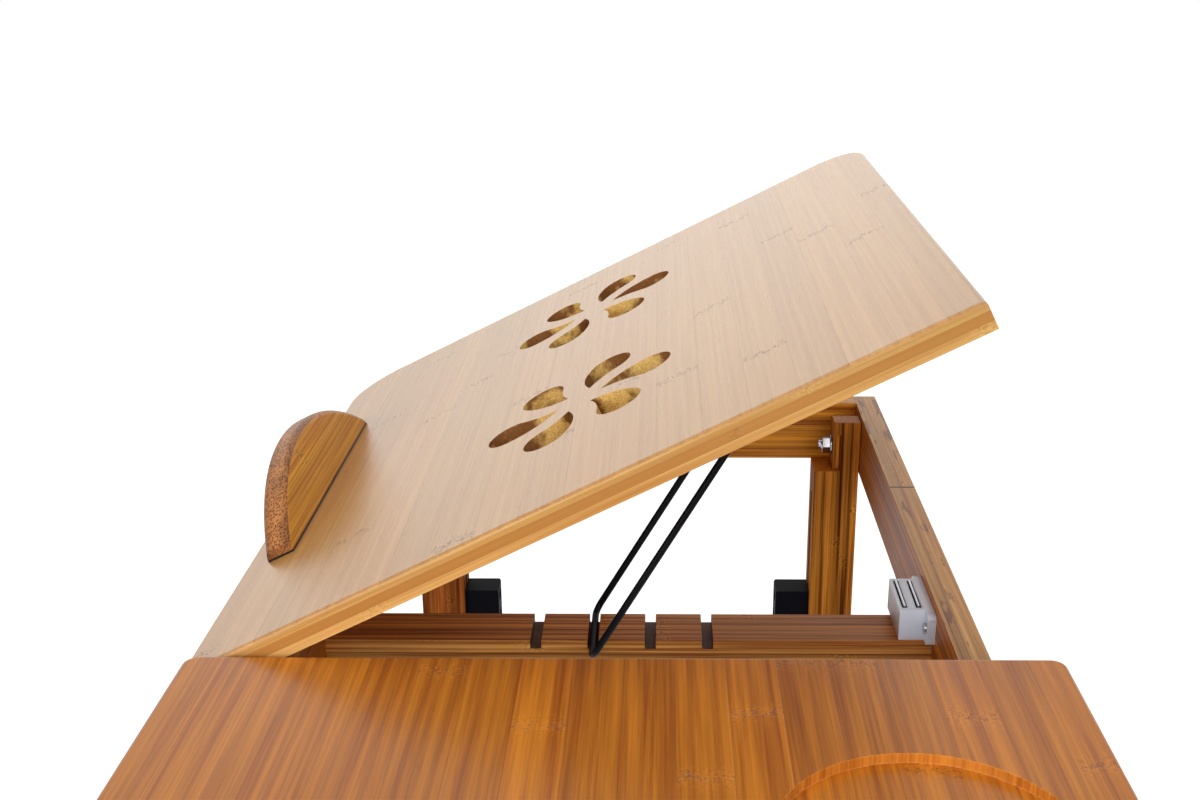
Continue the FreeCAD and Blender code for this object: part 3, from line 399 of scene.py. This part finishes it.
def end_grain(name, dark, light, tilted=False, stretch=1.0, gloss=0.46, shade=None, foot=None, dots=1.0,
              clouds=0.45):
    """Cut bamboo fibres: the dark dots of their bundles in a paler ground, in clouds.

    stretch draws the dots out along the length, shade gives the two distances across the piece between
    which painted shade darkens it, foot the height up to which painted shadow darkens it, for a narrow gap
    beneath, and dots and clouds how strong each is.
    """
    tree = Tree(name)
    place = tree.place(tilted)
    at = tree.vector(tree.math("MULTIPLY", place[0], 1 / stretch), place[1], place[2])
    wave = tree.math("MULTIPLY", tree.noise(at, BEND_SCALE, detail=2.0), BEND)
    bundles = {"Vector": tree.add(at, tree.vector(wave, wave, 0.0)), "Scale": 1 / BUNDLE_PITCH,
               "Randomness": BUNDLE_DISORDER}
    away = tree.node("ShaderNodeTexVoronoi", {}, bundles).outputs["Distance"]
    cloud = tree.spread(tree.noise(at, CLOUD_SCALE, detail=4.0), *CLOUD_LEVELS)
    fine = tree.noise(at, CUT_SCALE, detail=2.0)
    ground = tree.mix(cloud, light, tree.mix(clouds, light, dark))
    dot = tree.math("MULTIPLY", tree.fade(away, *BUNDLE_FADE, dots), tree.spread(fine, *BUNDLE_STRENGTH))
    body = tree.mix(dot, ground, dark)
    # Painted shade: darker towards the front, the side that faces away from the key light.
    if shade:
        body = tree.mix(tree.fade(place[1], *shade, CUT_SHADE), body, tree.tint(body, SHADE_TINT))
    # Painted shadow along the foot, for the narrow gap beneath the piece.
    if foot is not None:
        body = tree.foot_shadow(place[2], foot, body)
    tree.feed(tree.shader.inputs["Base Color"], body)
    tree.roughen(fine, gloss)
    tree.shader.inputs["Specular IOR Level"].default_value = CUT_SHINE
    tree.bump(tree.math("SUBTRACT", fine, dot), CUT_RELIEF)
    return tree.material


def metal(name, colour, roughness):
    """Plated steel with fine scratches along the length and a faint unevenness."""
    tree = Tree(name)
    place = tree.place(False)
    scratch_at = tree.vector(tree.math("MULTIPLY", place[0], SCRATCH_ALONG),
                             tree.math("MULTIPLY", place[1], SCRATCH_ACROSS),
                             tree.math("MULTIPLY", place[2], SCRATCH_ACROSS))
    scratch = tree.noise(scratch_at, 1.0, detail=2.0)
    point = tree.vector(place[0], place[1], place[2])
    tree.feed(tree.shader.inputs["Base Color"], tree.clouded(point, colour, *METAL_CLOUDS))
    tree.shader.inputs["Metallic"].default_value = 1.0
    rough = tree.math("MULTIPLY_ADD", scratch, SCRATCH_ROUGHNESS, roughness)
    tree.feed(tree.shader.inputs["Roughness"], rough)
    tree.bump(scratch, METAL_RELIEF)
    return tree.material


def plastic(name, colour, roughness, grain, coat=0.0, shine=0.5):
    """Moulded plastic, rubber or enamel: a fine texture and slight changes of tone."""
    tree = Tree(name)
    place = tree.place(False)
    point = tree.vector(place[0], place[1], place[2])
    pores = tree.noise(point, grain, detail=2.0)
    tree.feed(tree.shader.inputs["Base Color"], tree.clouded(point, colour, *PLASTIC_CLOUDS))
    tree.roughen(pores, roughness)
    tree.shader.inputs["Coat Weight"].default_value = coat
    tree.shader.inputs["Specular IOR Level"].default_value = shine
    tree.bump(pores, PLASTIC_RELIEF)
    return tree.material


looks = {
    "pale": bamboo(
        "bamboo_pale", "X", "Y", BROAD, 4 * MM, PALE_DARK, PALE_LIGHT, seed=1.0, tilted=True, gloss=0.3,
        spread=0.06, fibre=2.2 * MM, soft=0.3, marks=0.8, coat=0.26, shine=0.5),
    "pale_end": bamboo(
        "bamboo_pale_end", "Y", "Z", 4 * MM, 40 * MM, EDGE_DARK, EDGE_LIGHT, seed=1.5, tilted=True,
        spread=0.08, fibre=3.0 * MM, soft=0.3, marks=0.0, start=UNDERSIDE, core=0.8),
    "vent": end_grain("bamboo_vent", VENT_DARK, VENT_LIGHT, tilted=True, dots=0.5, clouds=0.85),
    "top": bamboo(
        "bamboo_top", "X", "Y", BROAD, 4 * MM, TOP_DARK, TOP_LIGHT, seed=2.0, gloss=0.32, spread=0.1,
        fibre=4.6 * MM, soft=0.24, marks=0.34, coat=0.06, shine=0.4),
    "top_end": bamboo(
        "bamboo_top_end", "Y", "Z", 3.9 * MM, 40 * MM, TOP_DARK, EDGE_LIGHT, seed=2.5, fibre=3.0 * MM,
        soft=0.3, marks=0.0),
    "recess": bamboo(
        "bamboo_recess", "Z", "X", 60 * MM, 60 * MM, RECESS_DARK, RECESS_LIGHT, seed=2.7, gloss=0.4,
        spread=0.05, fibre=2.6 * MM, soft=0.26, marks=0.0),
    "rail": bamboo(
        "bamboo_rail", "X", "Z", NARROW, 4.5 * MM, RAIL_DARK, RAIL_LIGHT, seed=3.0, gloss=0.4, spread=0.2,
        fibre=2.4 * MM, shine=0.18),
    "rail_top": bamboo(
        "bamboo_rail_top", "X", "Y", 4.5 * MM, NARROW, RAIL_TOP_DARK, RAIL_TOP_LIGHT, seed=3.5, gloss=0.4,
        spread=0.1, fibre=1.8 * MM, soft=0.24, marks=0.4, patches=0.75, seam=RAIL_JOINT),
    "end": bamboo(
        "bamboo_end", "Y", "Z", NARROW, 4.5 * MM, END_DARK, END_LIGHT, seed=4.0, gloss=0.4,
        fibre=2.4 * MM),
    "cut": end_grain("bamboo_cut", RAIL_DARK, RAIL_LIGHT, dots=0.7),
    "rack": bamboo(
        "bamboo_rack", "Y", "X", 26 * MM, 5.6 * MM, RACK_DARK, RACK_LIGHT, seed=5.0, gloss=0.4,
        fibre=2.0 * MM, shine=0.14),
    "rack_face": bamboo(
        "bamboo_rack_face", "Y", "Z", 5.7 * MM, 26 * MM, RACK_FACE_DARK, RACK_FACE_LIGHT, seed=5.4,
        gloss=0.4, spread=0.22, fibre=2.0 * MM, shine=0.14),
    # The notches' faces take painted shade.
    "notch": end_grain("bamboo_shaded_notch", NOTCH_SHADE_DARK, NOTCH_SHADE_LIGHT),
    "leg": bamboo(
        "bamboo_leg", "Z", "X", 6.1 * MM, 5.8 * MM, LEG_DARK, LEG_LIGHT, seed=6.0, gloss=0.62, spread=0.3,
        fibre=2.8 * MM, shine=0.06),
    # A painted-shade copy of the leg look for the front legs, darkened for the raised panel's shadow.
    "shaded_front_leg": bamboo(
        "bamboo_leg_front", "Z", "X", 6.1 * MM, 5.8 * MM, FRONT_LEG_SHADE_DARK, FRONT_LEG_SHADE_LIGHT, seed=6.4,
        gloss=0.62, spread=0.3, fibre=2.8 * MM, shine=0.06),
    # Painted shadow along the foot of the stop's face and edge, for the narrow gap beneath the stop.
    "stop": bamboo(
        "bamboo_stop", "X", "Z", 9 * MM, 5.5 * MM, STOP_DARK, STOP_LIGHT, seed=7.0, tilted=True, gloss=0.3,
        spread=0.12, fibre=1.7 * MM, soft=0.2, marks=0.8, shine=0.1, foot=TOP_HEIGHT),
    # Painted shade darkens the edge towards its front.
    "stop_edge": end_grain(
        "bamboo_stop_edge", STOP_EDGE_DARK, STOP_EDGE_LIGHT, tilted=True, stretch=2.6, gloss=0.4,
        shade=(STOP_FRONT, STOP_FRONT + STOP_SHADE), foot=TOP_HEIGHT),
    "drawer": bamboo("bamboo_drawer", "Y", "Z", NARROW, 4 * MM, TOP_DARK, TOP_LIGHT, seed=8.0),
    "side": bamboo("bamboo_side", "X", "Z", NARROW, 4 * MM, TOP_DARK, TOP_LIGHT, seed=9.0),
    "ply": bamboo("plywood", "X", "Y", 60 * MM, 1 * MM, PLY_DARK, PLY_LIGHT, seed=10.0),
    "steel": metal("plated_steel", STEEL, roughness=0.16),
    "wire": plastic("black_enamel", ENAMEL, roughness=0.42, grain=500.0, shine=0.12),
    "lock": plastic("black_plastic", BLACK_PLASTIC, roughness=0.62, grain=1400.0, shine=0.06),
    "white": plastic("white_plastic", WHITE_PLASTIC, roughness=0.38, grain=900.0, coat=0.15),
    "magnet": plastic("ferrite", FERRITE, roughness=0.6, grain=1800.0),
    "rubber": plastic("rubber", RUBBER, roughness=0.75, grain=1200.0),
}


# ---- Tests that choose faces and edges, by the share of a normal that lies along an axis ----
FACING = 0.9
STEEP = 0.7
BROAD_FACE = 0.93

# Edges no longer than this aren't eased on the catch.
SHORT_EDGE = 3 * MM


def level_point(point):
    """A point of the raised panel as it lies when the panel is level."""
    dy = point.y - HINGE_AXIS[1]
    dz = point.z - HINGE_AXIS[2]
    return Vector((point.x, HINGE_AXIS[1] + dy * math.cos(TILT) + dz * math.sin(TILT),
                   HINGE_AXIS[2] - dy * math.sin(TILT) + dz * math.cos(TILT)))


def level_normal(face):
    """A face's normal when the panel is level."""
    middle = face.calc_center_median()
    return level_point(middle + face.normal) - level_point(middle)


def along_x(face):
    return abs(face.normal.x) > FACING


def along_y(face):
    return abs(face.normal.y) > FACING


def along_z(face):
    return abs(face.normal.z) > FACING


def upward(face):
    return face.normal.z > FACING


def not_broad(face):
    """Any part of the book stop but its two broad faces."""
    return abs(level_normal(face).y) < BROAD_FACE


def vent_wall(face):
    """The walls of the tilting panel's vents."""
    low, high = PANEL_BOX
    middle = level_point(face.calc_center_median())
    inside = low[0] + RIM < middle.x < high[0] - RIM and FRONT_EDGE + RIM < middle.y < -FRONT_EDGE - RIM
    return inside and abs(level_normal(face).z) < STEEP


def recess_wall(face):
    """The wall of the fixed panel's cup recess."""
    low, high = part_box("fixed_panel")
    middle = face.calc_center_median()
    inside = low[0] + RIM < middle.x < high[0] - RIM and low[1] + RIM < middle.y < high[1] - RIM
    return inside and abs(face.normal.z) < STEEP


def in_notch(face):
    """The floors and walls of the rack's notches, which take painted shade."""
    low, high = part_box("rack_bar")
    middle = face.calc_center_median()
    on_floor = upward(face) and middle.z < high[2] - MARGIN
    on_wall = along_y(face) and low[1] + RIM < middle.y < high[1] - RIM
    return on_floor or on_wall


def by_plates(point):
    """Within the margin of the catch's pole plates, as seen from above."""
    low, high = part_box("catch_pole_plates")
    return (low[0] - MARGIN < point.x < high[0] + MARGIN and
            low[1] - MARGIN < point.y < high[1] + MARGIN)


def in_groove(face):
    """The walls and floors of the slots that the catch's pole plates stand in."""
    middle = face.calc_center_median()
    return by_plates(middle) and middle.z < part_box("catch_pole_plates")[1][2] - MARGIN


def outer_edge(edge):
    """An edge on the outside of the catch's body, away from its slots and screw holes."""
    middle = (edge.verts[0].co + edge.verts[1].co) / 2
    outside = not by_plates(middle) and middle.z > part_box("catch_body")[0][2] + MARGIN
    return edge.is_convex and edge.calc_length() > SHORT_EDGE and outside


# ---- Pieces ----
SAME_PLACE = 1e-6
SAME_PLANE = math.radians(0.4)
SHARP = math.radians(30)
BOARD_CREASE = math.radians(50)
SCREW_CREASE = math.radians(40)

ROUND_CORNERS = 10
ROUND_SPREAD = 1.05
CROSS = ((0.13, 0.13), (0.55, 0.13), (0.55, -0.13), (0.13, -0.13), (0.13, -0.55), (-0.13, -0.55),
         (-0.13, -0.13), (-0.55, -0.13), (-0.55, 0.13), (-0.13, 0.13), (-0.13, 0.55), (0.13, 0.55))
CROSS_DEPTH = 0.35
CROSS_TAPER = 0.3

THREADED = ("leg_bolts",)
THREAD_STEP = 0.4 * MM
THREAD_RINGS = 5
THREAD_ROOT = 0.8


def open_shape(node):
    """The node's own mesh to work on, with each flat face in one piece."""
    work = bmesh.new()
    work.from_mesh(frame["nodes"][node].data)
    bmesh.ops.remove_doubles(work, verts=work.verts, dist=SAME_PLACE)
    bmesh.ops.dissolve_limit(work, angle_limit=SAME_PLANE, verts=work.verts, edges=work.edges)
    return work


def make_piece(work, name, used, crease):
    """A piece of the worked mesh, smooth but for its creases, with the looks that it uses."""
    for face in work.faces:
        face.smooth = True
    mesh = bpy.data.meshes.new(name)
    work.to_mesh(mesh)
    work.free()
    for look in used:
        mesh.materials.append(looks[look])
    mesh.set_sharp_from_angle(angle=crease)
    piece = bpy.data.objects.new(name, mesh)
    bpy.context.scene.collection.objects.link(piece)
    return piece


def stand_for(piece, node):
    """Give a new piece the node's body, and let it stand for the node."""
    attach(piece, BODY_OF[node])
    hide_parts(node)


def eased(node, look, radius, others=(), pick=None):
    """The node's own shape with its sharp edges eased, as sanding or moulding leaves them.

    others gives further looks, each with the test that a face must pass to take it, and pick is the test
    that an edge must pass to be eased.
    """
    work = open_shape(node)
    edges = [e for e in work.edges if len(e.link_faces) == 2 and e.calc_face_angle() > SHARP]
    if pick:
        edges = [e for e in edges if pick(e)]
    bmesh.ops.bevel(work, geom=edges, offset=radius, segments=2, profile=0.5, affect="EDGES",
                    clamp_overlap=True)
    for face in work.faces:
        face.material_index = next((i for i, (_, test) in enumerate(others, 1) if test(face)), 0)
    piece = make_piece(work, node + "_eased", [look] + [name for name, _ in others], BOARD_CREASE)
    normals = piece.modifiers.new("even_normals", "WEIGHTED_NORMAL")
    normals.keep_sharp = True
    stand_for(piece, node)


def cross_recess(work, face, radius):
    """Sink a cross recess, as a share of the head's radius, into the flat face of a screw head."""
    centre = face.calc_center_median()
    out = face.normal.copy()
    across = out.orthogonal().normalized()
    beside = out.cross(across)
    outline = list(face.edges)
    bmesh.ops.delete(work, geom=[face], context="FACES_ONLY")
    rim = [work.verts.new(centre + (across * a + beside * b) * radius) for a, b in CROSS]
    sunk = [work.verts.new(v.co.lerp(centre, CROSS_TAPER) - out * CROSS_DEPTH * radius) for v in rim]
    edges = [work.edges.new((a, b)) for a, b in zip(rim, rim[1:] + rim[:1])]
    made = bmesh.ops.triangle_fill(work, edges=outline + edges, use_beauty=True, normal=out)
    faces = [item for item in made["geom"] if isinstance(item, bmesh.types.BMFace)]
    for i, vert in enumerate(rim):
        after = (i + 1) % len(rim)
        faces.append(work.faces.new((vert, rim[after], sunk[after], sunk[i])))
    faces.append(work.faces.new(sunk))
    bmesh.ops.recalc_face_normals(work, faces=work.faces)


def thread(work):
    """Ring grooves round the bolts' inner ends, where they stand out of their nuts."""
    inner = min(abs(v.co.y) for v in work.verts)
    ahead = [v.co.x for v in work.verts if v.co.x > 0]
    axis_x = (min(ahead) + max(ahead)) / 2
    heights = [v.co.z for v in work.verts]
    axis_z = (min(heights) + max(heights)) / 2
    for side in (-1, 1):
        for ring in range(THREAD_RINGS):
            place = side * (inner + THREAD_STEP * (ring + 0.5))
            bmesh.ops.bisect_plane(work, geom=work.verts[:] + work.edges[:] + work.faces[:],
                                   plane_co=(0, place, 0), plane_no=(0, 1, 0))
    for vert in work.verts:
        ring = round((abs(vert.co.y) - inner) / THREAD_STEP - 0.5)
        if 0 <= ring < THREAD_RINGS and ring % 2 and abs(vert.co.y) > inner + 0.1 * THREAD_STEP:
            centre = math.copysign(axis_x, vert.co.x)
            vert.co.x = centre + (vert.co.x - centre) * THREAD_ROOT
            vert.co.z = axis_z + (vert.co.z - axis_z) * THREAD_ROOT


def screws(node, head):
    """The node's screws with a cross recess in each head that is wider than the given radius."""
    work = open_shape(node)
    for face in list(work.faces):
        centre = face.calc_center_median()
        spans = [(v.co - centre).length for v in face.verts]
        if len(spans) >= ROUND_CORNERS and min(spans) > head and max(spans) < ROUND_SPREAD * min(spans):
            cross_recess(work, face, min(spans))
    if node in THREADED:
        thread(work)
    stand_for(make_piece(work, node + "_driven", ["steel"], SCREW_CREASE), node)


def paint(node, look):
    """Keep the node's own mesh and give it a look."""
    mesh = frame["nodes"][node].data
    mesh.materials.clear()
    mesh.materials.append(looks[look])


# The look of each node with eased edges, and how far they are eased, in mm.
BOARDS = {
    "tilt_panel": ("pale", 0.5), "fixed_panel": ("top", 0.5), "book_stop": ("stop", 0.8),
    "front_rail": ("rail", 0.6), "back_rail_far": ("rail", 0.6), "back_rail_near": ("rail", 0.6),
    "far_end_rail": ("end", 0.6), "near_end_block_front": ("end", 0.6), "near_end_block_back": ("end", 0.6),
    "rack_bar": ("rack", 0.5), "cross_batten": ("end", 0.5),
    "drawer_runner_front": ("side", 0.4), "drawer_runner_back": ("side", 0.4),
    "drawer_front": ("drawer", 0.7), "drawer_back": ("drawer", 0.4),
    "drawer_side_front": ("side", 0.4), "drawer_side_back": ("side", 0.4), "drawer_floor": ("ply", 0.2),
    "far_stretcher": ("end", 0.8), "near_stretcher": ("end", 0.8),
    "far_lock_housings": ("lock", 0.4), "near_lock_housings": ("lock", 0.4),
    "far_foot_pads": ("rubber", 0.5), "near_foot_pads": ("rubber", 0.5),
    "catch_body": ("white", 1.0), "catch_pole_plates": ("steel", 0.3),
    "frame_hinge_leaves": ("steel", 0.15), "panel_hinge_leaves": ("steel", 0.15),
    "strike_plate": ("steel", 0.2), "prop_brackets": ("wire", 0.25),
    "leg_nuts": ("steel", 0.4), "leg_washers": ("steel", 0.2),
}
RAIL_LOOKS = (("rail_top", upward), ("cut", along_x))
OTHER_LOOKS = {
    "tilt_panel": (("vent", vent_wall), ("pale_end", along_x)),
    "fixed_panel": (("recess", recess_wall), ("top_end", along_x)),
    "book_stop": (("stop_edge", not_broad),),
    "back_rail_far": RAIL_LOOKS, "back_rail_near": RAIL_LOOKS, "front_rail": RAIL_LOOKS,
    "far_end_rail": (("cut", along_y),),
    "rack_bar": (("notch", in_notch), ("cut", along_y), ("rack_face", along_x)),
    "catch_body": (("magnet", in_groove),),
}
PICKED_EDGES = {"catch_body": outer_edge}

# The least radius of a head that takes a cross recess.
SMALL_HEAD = 2.2 * MM
BROAD_HEAD = 3.2 * MM
SCREWS = {
    "frame_screws": BROAD_HEAD, "stop_screws": BROAD_HEAD, "leg_bolts": BROAD_HEAD,
    "far_stretcher_screws": BROAD_HEAD, "near_stretcher_screws": BROAD_HEAD,
    "far_lock_screws": BROAD_HEAD, "near_lock_screws": BROAD_HEAD,
    "catch_screws": SMALL_HEAD, "frame_hinge_screws": SMALL_HEAD, "panel_screws": SMALL_HEAD,
}

# Nodes that keep their own mesh. Those that aren't named here are steel.
PLAIN_LOOKS = {"prop_wire": "wire", "catch_magnet": "magnet", "rail_dowels": "rail"}

for end in ("far", "near"):
    # The front legs take the painted-shade copy of the leg look.
    for side, leg_look in (("front", "shaded_front_leg"), ("back", "leg")):
        for bar, radius in (("upper_bar", 0.5), ("sliding_bar", 0.6)):
            BOARDS[f"{end}_{side}_{bar}"] = (leg_look, radius)
            OTHER_LOOKS[f"{end}_{side}_{bar}"] = (("cut", along_z),)
        PLAIN_LOOKS[f"{end}_{side}_lock_button"] = "lock"

for node, (look, radius) in BOARDS.items():
    eased(node, look, radius * MM, OTHER_LOOKS.get(node, ()), PICKED_EDGES.get(node))
for node, head in SCREWS.items():
    screws(node, head)
for node in frame["nodes"]:
    if node not in BOARDS and node not in SCREWS:
        paint(node, PLAIN_LOOKS.get(node, "steel"))


# ---- Floor, light and camera ----
FLOOR_REACH = 6.0
FLOOR_COLOUR = (0.45, 0.45, 0.45, 1.0)
FLOOR_ROUGHNESS = 0.9
WORLD_LIGHT = 0.1

# Each softbox's name, place, aim, width and height, watts and colour.
SOFTBOXES = (
    ("glare", (-2.6, -0.6, 1.05), (0.0, 0.0, 0.3), (3.2, 1.3), 10.0, (1.0, 0.96, 0.88)),
    ("overhead", (-0.2, -0.3, 2.0), (0.0, 0.0, 0.2), (1.6, 1.6), 8.5, (1.0, 1.0, 1.0)),
    ("key", (1.9, 0.9, 1.4), (0.0, 0.0, 0.2), (2.4, 1.8), 23.0, (1.0, 0.98, 0.95)),
    ("low", (1.7, -1.1, 0.7), (-0.1, 0.1, 0.18), (2.4, 1.2), 26.0, (1.0, 0.97, 0.96)),
)


def floor():
    """A floor that lights the object as pale grey, and looks as white as the background."""
    mesh = bpy.data.meshes.new("floor")
    corners = [(x * FLOOR_REACH, y * FLOOR_REACH, 0) for x, y in ((-1, -1), (1, -1), (1, 1), (-1, 1))]
    mesh.from_pydata(corners, [], [(0, 1, 2, 3)])
    tree = Tree("pale_floor")
    tree.shader.inputs["Base Color"].default_value = FLOOR_COLOUR
    tree.shader.inputs["Roughness"].default_value = FLOOR_ROUGHNESS
    tree.shader.inputs["Specular IOR Level"].default_value = 0.0
    tree.shader.inputs["Emission Color"].default_value = WHITE
    path = tree.node("ShaderNodeLightPath", {}, {}).outputs
    seen = tree.math("MAXIMUM", path["Is Camera Ray"], path["Is Glossy Ray"])
    tree.feed(tree.shader.inputs["Emission Strength"], tree.math("MAXIMUM", seen, path["Is Transmission Ray"]))
    mesh.materials.append(tree.material)
    piece = bpy.data.objects.new("floor", mesh)
    bpy.context.scene.collection.objects.link(piece)


def softbox(name, place, aim, size, watts, colour):
    data = bpy.data.lights.new(name, "AREA")
    data.shape = "RECTANGLE"
    data.size, data.size_y = size
    data.energy = watts
    data.color = colour
    lamp = bpy.data.objects.new(name, data)
    lamp.location = place
    lamp.rotation_euler = (Vector(aim) - Vector(place)).to_track_quat("-Z", "Y").to_euler()
    bpy.context.scene.collection.objects.link(lamp)


def world():
    """White behind the object, and a softer white that lights it."""
    made = bpy.data.worlds.new("studio")
    made.use_nodes = True
    nodes = made.node_tree.nodes
    links = made.node_tree.links
    nodes.clear()
    out = nodes.new("ShaderNodeOutputWorld")
    choose = nodes.new("ShaderNodeMixShader")
    path = nodes.new("ShaderNodeLightPath")
    either = path.outputs["Is Camera Ray"]
    for kind in ("Is Glossy Ray", "Is Transmission Ray"):
        larger = nodes.new("ShaderNodeMath")
        larger.operation = "MAXIMUM"
        links.new(either, larger.inputs[0])
        links.new(path.outputs[kind], larger.inputs[1])
        either = larger.outputs[0]
    links.new(either, choose.inputs[0])
    for socket, strength in ((1, WORLD_LIGHT), (2, 1.0)):
        shown = nodes.new("ShaderNodeBackground")
        shown.inputs["Color"].default_value = WHITE
        shown.inputs["Strength"].default_value = strength
        links.new(shown.outputs[0], choose.inputs[socket])
    links.new(choose.outputs[0], out.inputs["Surface"])
    bpy.context.scene.world = made


def camera():
    """The photo's own camera."""
    data = bpy.data.cameras.new("camera")
    data.sensor_fit = "HORIZONTAL"
    data.sensor_width = SENSOR_WIDTH
    data.lens = PICTURE_FOCUS / PICTURE_WIDTH * SENSOR_WIDTH
    data.shift_x = (PICTURE_WIDTH / 2 - PICTURE_MIDDLE_X) / PICTURE_WIDTH
    data.clip_start = CAMERA_NEAR
    eye = bpy.data.objects.new("camera", data)
    eye.location = CAMERA_PLACE
    ahead = Vector((-math.cos(CAMERA_PITCH) * math.cos(CAMERA_YAW),
                    -math.cos(CAMERA_PITCH) * math.sin(CAMERA_YAW), -math.sin(CAMERA_PITCH)))
    eye.rotation_euler = ahead.to_track_quat("-Z", "Y").to_euler()
    bpy.context.scene.collection.objects.link(eye)
    bpy.context.scene.camera = eye


floor()
for values in SOFTBOXES:
    softbox(*values)
world()
camera()
bpy.context.scene.view_settings.view_transform = "Standard"
